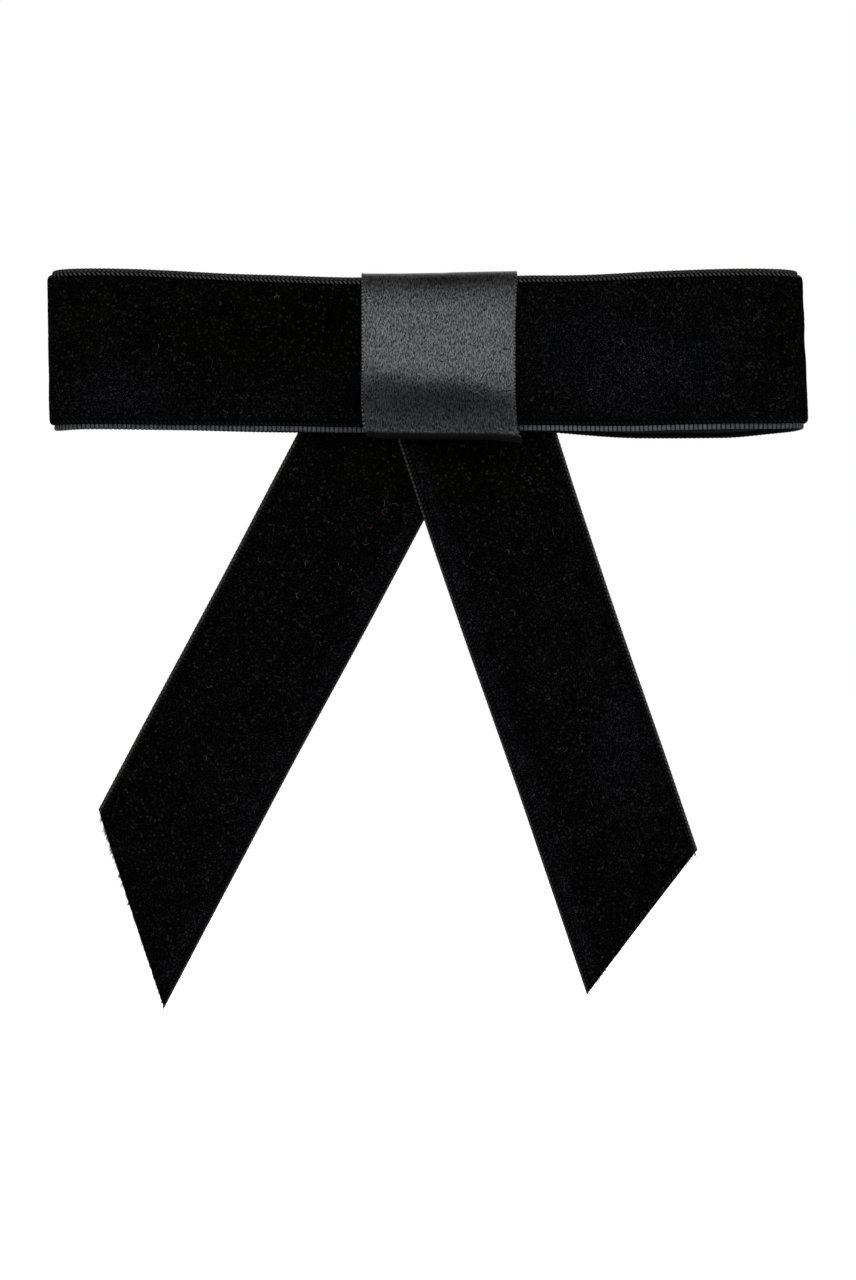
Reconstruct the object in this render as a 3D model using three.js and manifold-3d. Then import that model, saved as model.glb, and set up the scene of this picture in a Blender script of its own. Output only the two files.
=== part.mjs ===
// A velvet hair bow with two tails, a satin centre wrap and a sprung barrette clip behind it.
// Millimetres. +Z is up, -Y is the bow's face, +X is to the right of someone who looks at the face.
// The origin is the middle of the gap that the clip closes on the hair.
import * as THREE from 'three';
import { mergeVertices } from 'three/addons/utils/BufferGeometryUtils.js';
import Module from 'manifold-3d';

const wasm = await Module();
wasm.setup();

// Driving dimensions
const GAP = 0.3; // clearance between neighbouring pieces
const RIBBON = { width: 25.4, thickness: 1.2 };
const SATIN = { width: 25.9, thickness: 0.45 };
const STEEL = 0.8;
const LAYER = { front: -16.0, inner: -14.5, outer: -13.05 }; // Y of the bow's layers under the wrap
const BACK_CREST = -7.8; // Y where the back of each loop comes nearest to the clip
const LEFT_LOOP = { reach: 63.3, fold: -21.5, crestX: 55, crestY: -27.0, backX: 40 };
const RIGHT_LOOP = { reach: 59.4, fold: -19.5, crestX: 51, crestY: -25.0, backX: 38 };
const LOOP_ENDS = 11; // how far each end of the strip passes the middle
const TAIL_TOP = 10; // Z where the tails are trimmed behind the bow
// angle is from the vertical, offset is the centre line's distance from the origin, and the
// reaches run from the origin down the outer and the inner edge to the slanted cut
const LEFT_TAIL = { side: -1, angle: 27.75, offset: -2.4, outer: 93.2, inner: 117.5, y: -8.0 };
const RIGHT_TAIL = { side: 1, angle: 18.65, offset: 1.82, outer: 91.5, inner: 107.9, y: -9.5 };
const PATCH = { width: 44, height: 22, thickness: 1.0, corner: 4, y: -6.6 };
const STRAP = { width: 16, reach: 10.2, thickness: 0.5 };
const PLATE = { length: 80, width: 10, back: -5.0, holeX: 38, holeZ: 2.5, holeRadius: 0.8 };
const THREAD_RADIUS = 0.4;
const SEAM = { radius: 0.2, y: -10.7, z: 4.6, swing: 0.9, length: 23, stitches: 9 };
const RIVET = { shank: 0.9, head: 1.7, headHeight: 0.4, hole: 1.2 };
const BRACKET = { x: -31, length: 10, ear: 0.7, innerHalf: 3.6, thickness: 0.6, rivetX: -28.5 };
const PIN = { x: -33, y: 0.9, radius: 0.75, hole: 0.85, head: 1.2, headHeight: 0.4 };
const ARM = { width: 6.4, endWidth: 8.4, endFrom: 27.5, thickness: 0.9, knuckle: 1.6 };
const WINDOW = { x: 33, length: 5.4, half: 2.8 };
const BAR = { width: 5, thickness: 0.4, from: -31, to: 24, footY: -3.6, crownY: -2.6, tipY: -3.1 };
const CATCH = { from: 24.6, to: 36, width: 6, thickness: 0.6, rivetX: 27.2 };
const PRONG = { x: 33, length: 4, foot: -3.8, tip: 2.5, inner: 1.3, steel: 0.6, barb: 2.4, barbY: 1.7 };
const WING = { y: -2.6, z: 6.2, top: 1.2 };

const COLOURS = {
  velvet: new THREE.MeshStandardMaterial({ color: 0x0b0b0d, roughness: 1.0, metalness: 0 }),
  satin: new THREE.MeshStandardMaterial({ color: 0x34363c, roughness: 0.45, metalness: 0 }),
  felt: new THREE.MeshStandardMaterial({ color: 0x141416, roughness: 1.0, metalness: 0 }),
  grosgrain: new THREE.MeshStandardMaterial({ color: 0x101013, roughness: 0.8, metalness: 0 }),
  thread: new THREE.MeshStandardMaterial({ color: 0x18181b, roughness: 0.7, metalness: 0 }),
  steel: new THREE.MeshStandardMaterial({ color: 0xb9bcc0, roughness: 0.3, metalness: 1 }),
};

const X = new THREE.Vector3(1, 0, 0);
const Y = new THREE.Vector3(0, 1, 0);
const Z = new THREE.Vector3(0, 0, 1);
// A shape's own axes, and the way it is extruded, in the object's axes
const PLAN_XY = new THREE.Matrix4();
const PLAN_YZ = new THREE.Matrix4().makeBasis(Y, Z, X);
const PLAN_XZ = new THREE.Matrix4().makeBasis(X, Z, Y.clone().negate());

const object = new THREE.Group();

function addPiece(name, geometry, colour) {
  const mesh = new THREE.Mesh(geometry, COLOURS[colour].clone());
  mesh.name = name;
  object.add(mesh);
}

// A shape extruded evenly to both sides of the plane at `level` along the plan's third axis
function slab(shape, thickness, plan, level = 0, curveSegments = 8) {
  const geometry = new THREE.ExtrudeGeometry(shape, {
    depth: thickness, bevelEnabled: false, curveSegments,
  });
  geometry.translate(0, 0, level - thickness / 2);
  return geometry.applyMatrix4(plan);
}

function toSolid(geometry) {
  const bare = geometry.clone();
  bare.deleteAttribute('normal');
  bare.deleteAttribute('uv');
  const merged = mergeVertices(bare, 1e-4);
  return new wasm.Manifold(new wasm.Mesh({
    numProp: 3,
    vertProperties: new Float32Array(merged.attributes.position.array),
    triVerts: new Uint32Array(merged.index.array),
  }));
}

function toGeometry(solid) {
  const mesh = solid.getMesh();
  const geometry = new THREE.BufferGeometry();
  geometry.setAttribute('position', new THREE.BufferAttribute(mesh.vertProperties, 3));
  geometry.setIndex(new THREE.BufferAttribute(mesh.triVerts, 1));
  geometry.computeVertexNormals();
  return geometry;
}

function box(width, depth, height, x, y, z) {
  return toSolid(new THREE.BoxGeometry(width, depth, height).translate(x, y, z));
}

// A round bar along Y
function barAlongY(radius, from, to, x, z) {
  const geometry = new THREE.CylinderGeometry(radius, radius, to - from, 24);
  return toSolid(geometry.translate(x, (from + to) / 2, z));
}

// A round bar along Z
function barAlongZ(radius, length, x, y) {
  const geometry = new THREE.CylinderGeometry(radius, radius, length, 24).rotateX(Math.PI / 2);
  return toSolid(geometry.translate(x, y, 0));
}

// The closed outline of a strip of even thickness along a line of points
function stripOutline(points, thickness) {
  const left = [];
  const right = [];
  points.forEach((point, i) => {
    const before = points[Math.max(i - 1, 0)];
    const after = points[Math.min(i + 1, points.length - 1)];
    const along = after.clone().sub(before).normalize().multiplyScalar(thickness / 2);
    left.push(new THREE.Vector2(point.x - along.y, point.y + along.x));
    right.push(new THREE.Vector2(point.x + along.y, point.y - along.x));
  });
  return new THREE.Shape(left.concat(right.reverse()));
}

function roundedRectangle(width, height, corner) {
  const w = width / 2;
  const h = height / 2;
  const shape = new THREE.Shape();
  shape.moveTo(w, corner - h);
  shape.absarc(w - corner, h - corner, corner, 0, Math.PI / 2);
  shape.absarc(corner - w, h - corner, corner, Math.PI / 2, Math.PI);
  shape.absarc(corner - w, corner - h, corner, Math.PI, 1.5 * Math.PI);
  shape.absarc(w - corner, corner - h, corner, 1.5 * Math.PI, 2 * Math.PI);
  return shape;
}

function addHole(shape, x, y, radius) {
  const hole = new THREE.Path();
  hole.absarc(x, y, radius, 0, 2 * Math.PI, true);
  shape.holes.push(hole);
}

function tube(path, radius, steps, sides = 8) {
  const section = new THREE.Shape();
  section.absarc(0, 0, radius, 0, 2 * Math.PI);
  return new THREE.ExtrudeGeometry(section, {
    steps, extrudePath: path, curveSegments: sides, bevelEnabled: false,
  });
}

// Velvet ribbon

// One loop, from the back layer under the wrap, round the fold, to the front layer under the wrap
function drawLoop(path, side, loop, backLayer) {
  const edge = SATIN.width / 2 + 0.5;
  const fold = side * loop.reach;
  const crest = side * loop.crestX;
  const back = side * loop.backX;
  path.lineTo(side * edge, backLayer);
  path.bezierCurveTo(side * (edge + 8), backLayer, side * (loop.backX - 12), BACK_CREST, back, BACK_CREST);
  path.bezierCurveTo(side * (loop.backX + 12), BACK_CREST, fold, loop.fold + 7, fold, loop.fold);
  path.bezierCurveTo(fold, loop.fold - 4, crest + side * 4.5, loop.crestY, crest, loop.crestY);
  path.bezierCurveTo(
    crest - side * 10, loop.crestY, side * 2.2 * edge, LAYER.front - 1.2, side * edge, LAYER.front,
  );
}

function bowLoop() {
  const left = new THREE.Path();
  left.moveTo(LOOP_ENDS, LAYER.inner);
  drawLoop(left, -1, LEFT_LOOP, LAYER.inner);
  const right = new THREE.Path();
  right.moveTo(-LOOP_ENDS, LAYER.outer);
  drawLoop(right, 1, RIGHT_LOOP, LAYER.outer);
  const centreLine = left.getPoints(14).concat(right.getPoints(14).reverse());
  const outline = stripOutline(centreLine, RIBBON.thickness);
  return slab(outline, RIBBON.width, PLAN_XY);
}

// A flat strip hanging from behind the middle, trimmed level at its top and slanted at its end
function tail({ side, angle, offset, outer, inner, y }) {
  const turn = THREE.MathUtils.degToRad(angle);
  const down = new THREE.Vector2(side * Math.sin(turn), -Math.cos(turn));
  const across = new THREE.Vector2(Math.cos(turn), side * Math.sin(turn));
  const corner = (edge, reach) => across.clone().multiplyScalar(edge).addScaledVector(down, reach);
  const outerEdge = offset + side * RIBBON.width / 2;
  const innerEdge = offset - side * RIBBON.width / 2;
  const reachAtTop = (edge) => (TAIL_TOP - edge * across.y) / down.y;
  const shape = new THREE.Shape([
    corner(outerEdge, reachAtTop(outerEdge)),
    corner(outerEdge, outer),
    corner(innerEdge, inner),
    corner(innerEdge, reachAtTop(innerEdge)),
  ]);
  return slab(shape, RIBBON.thickness, PLAN_XZ, -y);
}

// Satin wrap: a band round the bow's middle whose ends overlap at the back
function centreWrap() {
  const half = RIBBON.width / 2 + GAP + SATIN.thickness / 2;
  const front = LAYER.front - RIBBON.thickness / 2 - GAP - SATIN.thickness / 2;
  const inner = LAYER.outer + RIBBON.thickness / 2 + GAP + SATIN.thickness / 2;
  const outer = inner + SATIN.thickness + 0.15;
  const corner = 1.1;
  const overlap = 5;
  const path = new THREE.Path();
  path.moveTo(inner, -overlap);
  path.lineTo(inner, half - corner);
  path.absarc(inner - corner, half - corner, corner, 0, Math.PI / 2);
  path.absarc(front + corner, half - corner, corner, Math.PI / 2, Math.PI);
  path.absarc(front + corner, corner - half, corner, Math.PI, 1.5 * Math.PI);
  path.absarc(outer - corner, corner - half, corner, 1.5 * Math.PI, 2 * Math.PI);
  path.lineTo(outer, overlap);
  return slab(stripOutline(path.getPoints(6), SATIN.thickness), SATIN.width, PLAN_YZ);
}

// Zigzag hand stitches along the wrap's outer end
function wrapSeamThread() {
  const points = Array.from({ length: 2 * SEAM.stitches + 1 }, (_, i) => new THREE.Vector3(
    SEAM.length * (i / (2 * SEAM.stitches) - 0.5), SEAM.y, SEAM.z + SEAM.swing * (i % 2 ? 1 : -1),
  ));
  const path = new THREE.CatmullRomCurve3(points, false, 'centripetal');
  return tube(path, SEAM.radius, 4 * SEAM.stitches * 2, 6);
}

// Backing

function backingPatch() {
  return slab(roundedRectangle(PATCH.width, PATCH.height, PATCH.corner), PATCH.thickness, PLAN_XZ, -PATCH.y);
}

// A strap glued to the patch above and below the clip's plate, and lying over the plate between
function plateStrap() {
  const low = PATCH.y + PATCH.thickness / 2 + GAP + STRAP.thickness / 2;
  const high = PLATE.back + GAP + STRAP.thickness / 2;
  const foot = PLATE.width / 2 + 2.2;
  const shoulder = PLATE.width / 2 + 0.7;
  const half = [[low, STRAP.reach], [low, foot], [high, shoulder]];
  const points = [
    ...half.map(([y, z]) => new THREE.Vector2(y, z)),
    ...half.toReversed().map(([y, z]) => new THREE.Vector2(y, -z)),
  ];
  return slab(stripOutline(points, STRAP.thickness), STRAP.width, PLAN_YZ);
}

// Barrette clip

function clipPlate() {
  const shape = roundedRectangle(PLATE.length, PLATE.width, PLATE.width / 2 - 0.01);
  for (const side of [-1, 1]) {
    for (const height of [-1, 1]) {
      addHole(shape, side * PLATE.holeX, height * PLATE.holeZ, PLATE.holeRadius);
    }
  }
  addHole(shape, BRACKET.rivetX, 0, RIVET.hole);
  addHole(shape, CATCH.rivetX, 0, RIVET.hole);
  return slab(shape, STEEL, PLAN_XZ, -(PLATE.back - STEEL / 2));
}

// A staple-shaped turn of thread: down one sewing hole, over the back of the plate, up the other
function plateThread(side) {
  const x = side * PLATE.holeX;
  const top = PLATE.back + 0.6;
  const end = PLATE.back - STEEL - GAP;
  const heights = [-1, 1];
  const corners = heights.flatMap((sign) => {
    const leg = [end, top - 0.5, top].map(
      (y, i) => new THREE.Vector3(x, y, sign * (PLATE.holeZ - (i === 2 ? 0.5 : 0))),
    );
    return sign < 0 ? leg : leg.reverse();
  });
  return tube(new THREE.CatmullRomCurve3(corners, false, 'centripetal'), THREAD_RADIUS, 24);
}

// A rivet along Y from the front of the plate to the last sheet that it holds
function rivet(x, back) {
  const front = PLATE.back - STEEL - GAP;
  const shank = barAlongY(RIVET.shank, front - 0.1, back + 0.1, x, 0);
  const frontHead = barAlongY(RIVET.head, front - RIVET.headHeight, front, x, 0);
  const backHead = barAlongY(RIVET.head, back, back + RIVET.headHeight, x, 0);
  return toGeometry(shank.add(frontHead).add(backHead));
}

function hingeBracket() {
  const back = PLATE.back + GAP + BRACKET.thickness;
  const outerHalf = BRACKET.innerHalf + BRACKET.ear;
  const base = box(
    BRACKET.length, BRACKET.thickness, 2 * outerHalf, BRACKET.x, back - BRACKET.thickness / 2, 0,
  );
  const radius = PIN.radius + 1.1;
  const ear = new THREE.Shape();
  ear.moveTo(PIN.x - radius, back - BRACKET.thickness / 2);
  ear.lineTo(PIN.x + radius + 2, back - BRACKET.thickness / 2);
  ear.lineTo(PIN.x + radius, PIN.y);
  ear.absarc(PIN.x, PIN.y, radius, 0, Math.PI);
  addHole(ear, PIN.x, PIN.y, PIN.hole);
  let solid = base;
  for (const side of [-1, 1]) {
    const level = side * (BRACKET.innerHalf + BRACKET.ear / 2);
    solid = solid.add(toSolid(slab(ear, BRACKET.ear, PLAN_XY, level)));
  }
  return toGeometry(solid.subtract(barAlongY(RIVET.hole, back - 2, back + 1, BRACKET.rivetX, 0)));
}

function hingePin() {
  const outer = BRACKET.innerHalf + BRACKET.ear + GAP;
  let solid = barAlongZ(PIN.radius, 2 * outer + 0.2, PIN.x, PIN.y);
  for (const side of [-1, 1]) {
    const head = barAlongZ(PIN.head, PIN.headHeight, PIN.x, PIN.y);
    solid = solid.add(head.translate([0, 0, side * (outer + PIN.headHeight / 2)]));
  }
  return toGeometry(solid);
}

function claspArm() {
  const line = new THREE.SplineCurve([
    [PIN.x, PIN.y + ARM.knuckle - ARM.thickness / 2],
    [-20, 2.8], [0, 3.05], [17, 2.5], [27.5, 1.15], [30.5, 0.95], [35.7, 0.95], [38.5, 1.9],
  ].map(([x, y]) => new THREE.Vector2(x, y)));
  const outline = stripOutline(line.getPoints(48), ARM.thickness);
  const knuckle = barAlongZ(ARM.knuckle, ARM.width - 0.4, PIN.x, PIN.y);
  const window = box(WINDOW.length, 4, 2 * WINDOW.half, WINDOW.x, PIN.y, 0);
  let strip = toSolid(slab(outline, ARM.endWidth, PLAN_XY));
  for (const side of [-1, 1]) {
    const reach = 80;
    const level = side * (ARM.width / 2 + 2);
    strip = strip.subtract(box(reach, 10, 4, ARM.endFrom - reach / 2, PIN.y, level));
  }
  return toGeometry(
    strip.add(knuckle).subtract(barAlongZ(PIN.hole, ARM.width + 2, PIN.x, PIN.y)).subtract(window),
  );
}

function tensionBar() {
  const middle = (BAR.from + BAR.to) / 2;
  const line = new THREE.SplineCurve([
    [BAR.from, BAR.footY], [BAR.from + 5, BAR.footY], [middle, BAR.crownY], [BAR.to, BAR.tipY],
  ].map(([x, y]) => new THREE.Vector2(x, y)));
  const strip = toSolid(slab(stripOutline(line.getPoints(24), BAR.thickness), BAR.width, PLAN_XY));
  return toGeometry(strip.subtract(barAlongY(RIVET.hole, -5, -2, BRACKET.rivetX, 0)));
}

function catchBase() {
  const length = CATCH.to - CATCH.from;
  const shape = roundedRectangle(length, CATCH.width, 1.2);
  const middle = (CATCH.to + CATCH.from) / 2;
  addHole(shape, CATCH.rivetX - middle, 0, RIVET.hole);
  const level = PLATE.back + GAP + CATCH.thickness / 2;
  return slab(shape, CATCH.thickness, PLAN_XZ, -level).translate(middle, 0, 0);
}

// One sprung prong: a leg with a barb that stands in the arm's window, and a finger wing beside it
function catchProng(side) {
  const outer = PRONG.inner + PRONG.steel;
  const profile = [
    [PRONG.foot, PRONG.inner], [PRONG.tip, PRONG.inner], [PRONG.tip, PRONG.inner + 0.25],
    [PRONG.barbY, PRONG.barb], [PRONG.barbY, outer], [WING.y + PRONG.steel, outer],
    [WING.y + PRONG.steel, WING.z], [WING.top, WING.z], [WING.top, WING.z + PRONG.steel],
    [WING.y, WING.z + PRONG.steel], [WING.y, outer], [PRONG.foot, outer],
  ];
  const shape = new THREE.Shape(profile.map(([y, z]) => new THREE.Vector2(y, side * z)));
  return slab(shape, PRONG.length, PLAN_YZ, PRONG.x);
}

const barBack = BAR.footY + BAR.thickness / 2 + GAP;
const catchBack = PLATE.back + GAP + CATCH.thickness + GAP;

addPiece('bow_loop', bowLoop(), 'velvet');
addPiece('tail_left', tail(LEFT_TAIL), 'velvet');
addPiece('tail_right', tail(RIGHT_TAIL), 'velvet');
addPiece('centre_wrap', centreWrap(), 'satin');
addPiece('wrap_seam_thread', wrapSeamThread(), 'thread');
addPiece('backing_patch', backingPatch(), 'felt');
addPiece('plate_strap', plateStrap(), 'grosgrain');
addPiece('clip_plate', clipPlate(), 'steel');
addPiece('plate_thread_left', plateThread(-1), 'thread');
addPiece('plate_thread_right', plateThread(1), 'thread');
addPiece('hinge_bracket', hingeBracket(), 'steel');
addPiece('bracket_rivet', rivet(BRACKET.rivetX, barBack), 'steel');
addPiece('hinge_pin', hingePin(), 'steel');
addPiece('clasp_arm', claspArm(), 'steel');
addPiece('tension_bar', tensionBar(), 'steel');
addPiece('catch_base', catchBase(), 'steel');
addPiece('catch_rivet', rivet(CATCH.rivetX, catchBack), 'steel');
addPiece('catch_prong_upper', catchProng(1), 'steel');
addPiece('catch_prong_lower', catchProng(-1), 'steel');

export default object;
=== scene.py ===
"""A velvet hair bow with a satin centre wrap on a steel barrette clip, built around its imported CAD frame.

The ribbons are woven meshes of their own: each has a cut-pile face, a woven back and ribbed
selvages. The clip keeps its CAD solids, with rounded edges and a rolled steel finish. +Z is up, and
the bow's face looks along -Y.
"""

import math
from dataclasses import dataclass

import bpy
import numpy as np
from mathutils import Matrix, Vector


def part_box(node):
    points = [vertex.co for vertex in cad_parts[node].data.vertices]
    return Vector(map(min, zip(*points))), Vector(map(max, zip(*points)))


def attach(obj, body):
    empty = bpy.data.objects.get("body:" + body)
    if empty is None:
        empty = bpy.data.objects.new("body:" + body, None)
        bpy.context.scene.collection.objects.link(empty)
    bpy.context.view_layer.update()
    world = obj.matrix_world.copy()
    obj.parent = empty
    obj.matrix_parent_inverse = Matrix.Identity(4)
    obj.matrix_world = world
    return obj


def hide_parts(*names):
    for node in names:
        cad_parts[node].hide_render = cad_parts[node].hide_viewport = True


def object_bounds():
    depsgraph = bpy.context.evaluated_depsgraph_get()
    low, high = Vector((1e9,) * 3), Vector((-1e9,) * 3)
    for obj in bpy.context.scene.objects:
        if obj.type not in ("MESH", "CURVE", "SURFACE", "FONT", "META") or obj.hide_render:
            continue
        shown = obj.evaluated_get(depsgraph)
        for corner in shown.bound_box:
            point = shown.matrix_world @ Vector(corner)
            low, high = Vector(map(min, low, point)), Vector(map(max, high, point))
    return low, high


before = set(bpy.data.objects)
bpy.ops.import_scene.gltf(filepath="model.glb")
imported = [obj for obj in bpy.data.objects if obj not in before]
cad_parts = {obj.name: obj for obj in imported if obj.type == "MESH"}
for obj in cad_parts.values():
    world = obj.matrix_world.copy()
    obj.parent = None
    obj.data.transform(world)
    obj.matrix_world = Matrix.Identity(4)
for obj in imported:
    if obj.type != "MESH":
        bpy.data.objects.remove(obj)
CAD_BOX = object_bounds()
MM = 0.001

# Ribbons, in millimetres
RIBBON_WIDTH = 25.4
WEB_BACK = -0.6  # the woven back, below the ribbon's middle surface
PILE_TOP = 0.66  # the tips of the pile, above it
TUFTS = 5.8  # tufts of pile to a millimetre
RIB_PITCH = 0.74  # one weft loop of the velvet's selvage
WARP_PITCH = 0.42  # one warp end of the velvet's woven back
SELVAGE_LEVEL = -0.34  # the middle of each selvage's cord, below the ribbon's middle surface
BACK_COLUMNS = 9  # columns of points across the back of a velvet strip
PATTERN_SHIFT = 500.0  # ribs that the pattern moves by from one ribbon to the next, so no two are alike
SATIN_PITCH = 0.56  # one bead of the satin's edge
SATIN_THICK = 0.4
SATIN_LAYER = 0.45  # the room that one layer of satin takes

# How strongly each cloth throws back the light
PILE_SHINE = 0.0162
DASH_SHINE = 0.10
LOOP_SHINE = 0.11
SATIN_DARK, SATIN_LIT = 0.011, 0.128

# Camera and light
VIEW_DISTANCE = 0.5  # from the camera to the front of the wrap
VIEW_CENTRE = (-0.0019, -0.04705)  # x and z that the camera looks at
VIEW_HEIGHT = 0.2098  # what the picture's height covers at that distance
SENSOR = 36.0
WORLD_FILL = 0.07  # how strongly the white world lights the object
FLOOR_BOUNCE = 0.07  # and the floor
FLOOR_HALF = 6.0
FLOOR_DROP = 0.06  # from the tips of the tails to the floor
LIGHT_TARGET = (0, 0, -0.045)

rng = np.random.default_rng(7)


# ---- node helpers


class Nodes:
    """A short way to build a material's node tree."""

    def __init__(self, name):
        self.material = bpy.data.materials.new(name)
        self.material.use_nodes = True
        self.tree = self.material.node_tree
        self.shader = self.tree.nodes["Principled BSDF"]

    def node(self, kind, **settings):
        made = self.tree.nodes.new("ShaderNode" + kind)
        for key, value in settings.items():
            setattr(made, key, value)
        return made

    def link(self, source, target):
        if isinstance(source, (int, float, tuple)):
            target.default_value = source
        else:
            self.tree.links.new(source, target)

    def attribute(self, name, output="Vector"):
        return self.node("Attribute", attribute_name=name).outputs[output]

    def math(self, operation, a, b=0.0, clamp=False):
        made = self.node("Math", operation=operation, use_clamp=clamp)
        self.link(a, made.inputs[0])
        self.link(b, made.inputs[1])
        return made.outputs[0]

    def times(self, first, *others, clamp=False):
        """The product of several values, held between 0 and 1 at the end if clamp is set."""
        *middle, last = others
        for factor in middle:
            first = self.math("MULTIPLY", first, factor)
        return self.math("MULTIPLY", first, last, clamp)

    def scaled(self, vector, scale):
        made = self.node("VectorMath", operation="MULTIPLY")
        self.link(vector, made.inputs[0])
        made.inputs[1].default_value = scale
        return made.outputs[0]

    def object_place(self):
        """The place in the object's own frame, in millimetres."""
        return self.scaled(self.node("TexCoord").outputs["Object"], (1 / MM, 1 / MM, 1 / MM))

    def noise(self, vector, scale, detail=2.0, roughness=0.5):
        made = self.node("TexNoise")
        self.link(vector, made.inputs["Vector"])
        made.inputs["Scale"].default_value = scale
        made.inputs["Detail"].default_value = detail
        made.inputs["Roughness"].default_value = roughness
        return made.outputs[0]

    def grains(self, vector, scale, output):
        made = self.node("TexVoronoi")
        self.link(vector, made.inputs["Vector"])
        made.inputs["Scale"].default_value = scale
        return made.outputs[output]

    def parts(self, vector):
        made = self.node("SeparateXYZ")
        self.link(vector, made.inputs[0])
        return made.outputs

    def beads(self, place, pitch):
        """1 in the middle of each bead along a coordinate, and 0 in the gaps between them."""
        turn = self.math("FRACT", self.math("DIVIDE", place, pitch))
        away = self.math("ABSOLUTE", self.math("SUBTRACT", turn, 0.5))
        return self.math("SUBTRACT", 1.0, self.times(away, 2.0))

    def spread(self, value, low, high, to_low=0.0, to_high=1.0):
        """A value from low to high, mapped smoothly to another range and held at its ends."""
        made = self.node("MapRange", interpolation_type="SMOOTHSTEP")
        self.link(value, made.inputs["Value"])
        sockets = ("From Min", "From Max", "To Min", "To Max")
        for name, number in zip(sockets, (low, high, to_low, to_high)):
            made.inputs[name].default_value = number
        return made.outputs[0]

    def mix(self, factor, a, b):
        made = self.node("Mix", data_type="RGBA")
        self.link(factor, made.inputs[0])
        for value, socket in ((a, made.inputs[6]), (b, made.inputs[7])):
            self.link((*value, 1.0) if isinstance(value, tuple) else value, socket)
        return made.outputs[2]

    def bump(self, height, distance, strength):
        made = self.node("Bump")
        self.link(height, made.inputs["Height"])
        made.inputs["Distance"].default_value = distance
        made.inputs["Strength"].default_value = strength
        self.link(made.outputs[0], self.shader.inputs["Normal"])

    def set(self, **values):
        """Sets the shader's own sockets, or links them."""
        for name, value in values.items():
            self.link(value, self.shader.inputs[name.replace("_", " ")])


def grey(level, tint=(1.0, 1.0, 1.0)):
    return tuple(level * part for part in tint)


# ---- materials


def velvet_material():
    """Black cut pile: tufts that catch the light at random, painted light and shade where the nap leans, a
    dashed row along the selvage on a painted shadow line, dark cuts.
    """
    n = Nodes("velvet_pile")
    place = n.attribute("ribbon")
    painted_nap_light = n.attribute("painted_nap_light", "Fac")
    u, v, _ = n.parts(place)
    # Tufts with fine hairs between them, dark pits and a few painted glints
    chance = n.parts(n.grains(place, TUFTS, "Color"))
    round_tuft = n.spread(n.grains(place, TUFTS, "Distance"), 0.15, 0.75, 1.0, 0.05)
    pits = n.spread(n.noise(place, 5.0, 2.0, 0.6), 0.42, 0.54, 0.02, 1.0)
    tuft = n.times(n.math("POWER", chance[0], 2.2), round_tuft, pits)
    fine = n.times(n.spread(n.noise(place, 7.0, 2.0, 0.6), 0.40, 0.70), pits)
    glints = n.math("POWER", n.parts(n.grains(place, 3.2, "Color"))[0], 18.0)
    lean = n.spread(n.noise(place, 0.20, 3.0, 0.6), 0.30, 0.70, 0.72, 1.25)
    lit = n.math("ADD", tuft, n.times(fine, 0.30))
    lit = n.math("ADD", n.times(lit, lean, painted_nap_light), glints)
    # Painted light tint: olive where the pile's painted light is low, blue where it is high, and a few red
    # hairs
    facing = n.math("ADD", painted_nap_light, n.times(chance[1], 0.8))
    tips = n.mix(n.spread(facing, 0.8, 2.2), (1.02, 1.0, 0.80), (0.95, 0.97, 1.14))
    tips = n.mix(n.math("GREATER_THAN", chance[2], 0.99), tips, (1.3, 0.30, 0.40))
    pile = n.mix(n.times(lit, PILE_SHINE, clamp=True), grey(0.0001), tips)
    # A dashed row beside the selvage, on a painted shadow line
    inside = n.math("SUBTRACT", RIBBON_WIDTH / 2, n.math("ABSOLUTE", v))
    inside = n.math("SUBTRACT", inside, n.attribute("woven", "Fac"))
    slanted = n.math("ADD", u, n.times(v, 0.7))
    dash = n.spread(n.beads(slanted, RIB_PITCH), 0.35, 0.70)
    row = n.times(n.spread(inside, 0.04, 0.14), n.spread(inside, 0.68, 0.46))
    dashes = n.times(dash, row, n.attribute("dash", "Fac"))
    painted_shadow_row = n.mix(n.spread(inside, 0.45, 1.1, 0.12, 1.0), grey(0.0001), pile)
    worn = n.times(dashes, n.spread(fine, 0, 1, 0.75, 1.2), clamp=True)
    n.set(Base_Color=n.mix(worn, painted_shadow_row, grey(DASH_SHINE, (0.94, 0.98, 1.08))))
    n.set(Roughness=0.95, Specular_IOR_Level=0.0)
    n.set(Sheen_Weight=0.004, Sheen_Roughness=0.4, Sheen_Tint=(0.9, 0.9, 1.0, 1.0))
    n.bump(n.math("ADD", tuft, fine), 0.00012, 0.8)
    return n.material


def web_material():
    """The ribbon's woven back: dull black with fine cross ribs."""
    n = Nodes("velvet_web")
    place = n.attribute("ribbon")
    u, v, _ = n.parts(place)
    picks = n.spread(n.beads(u, RIB_PITCH / 2), 0.1, 0.8, 0.25, 1.0)
    ends = n.spread(n.beads(v, WARP_PITCH), 0.0, 0.7, 0.5, 1.0)
    rough = n.spread(n.noise(place, 1.8, 4.0, 0.7), 0.3, 0.7, 0.4, 1.2)
    weave = n.times(picks, ends, rough)
    n.set(Base_Color=n.mix(weave, grey(0.002), grey(0.026, (1.0, 0.99, 0.96))), Roughness=0.8)
    n.set(Specular_IOR_Level=0.15, Sheen_Weight=0.02, Sheen_Roughness=0.5)
    n.bump(weave, 0.00015, 0.7)
    return n.material


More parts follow.
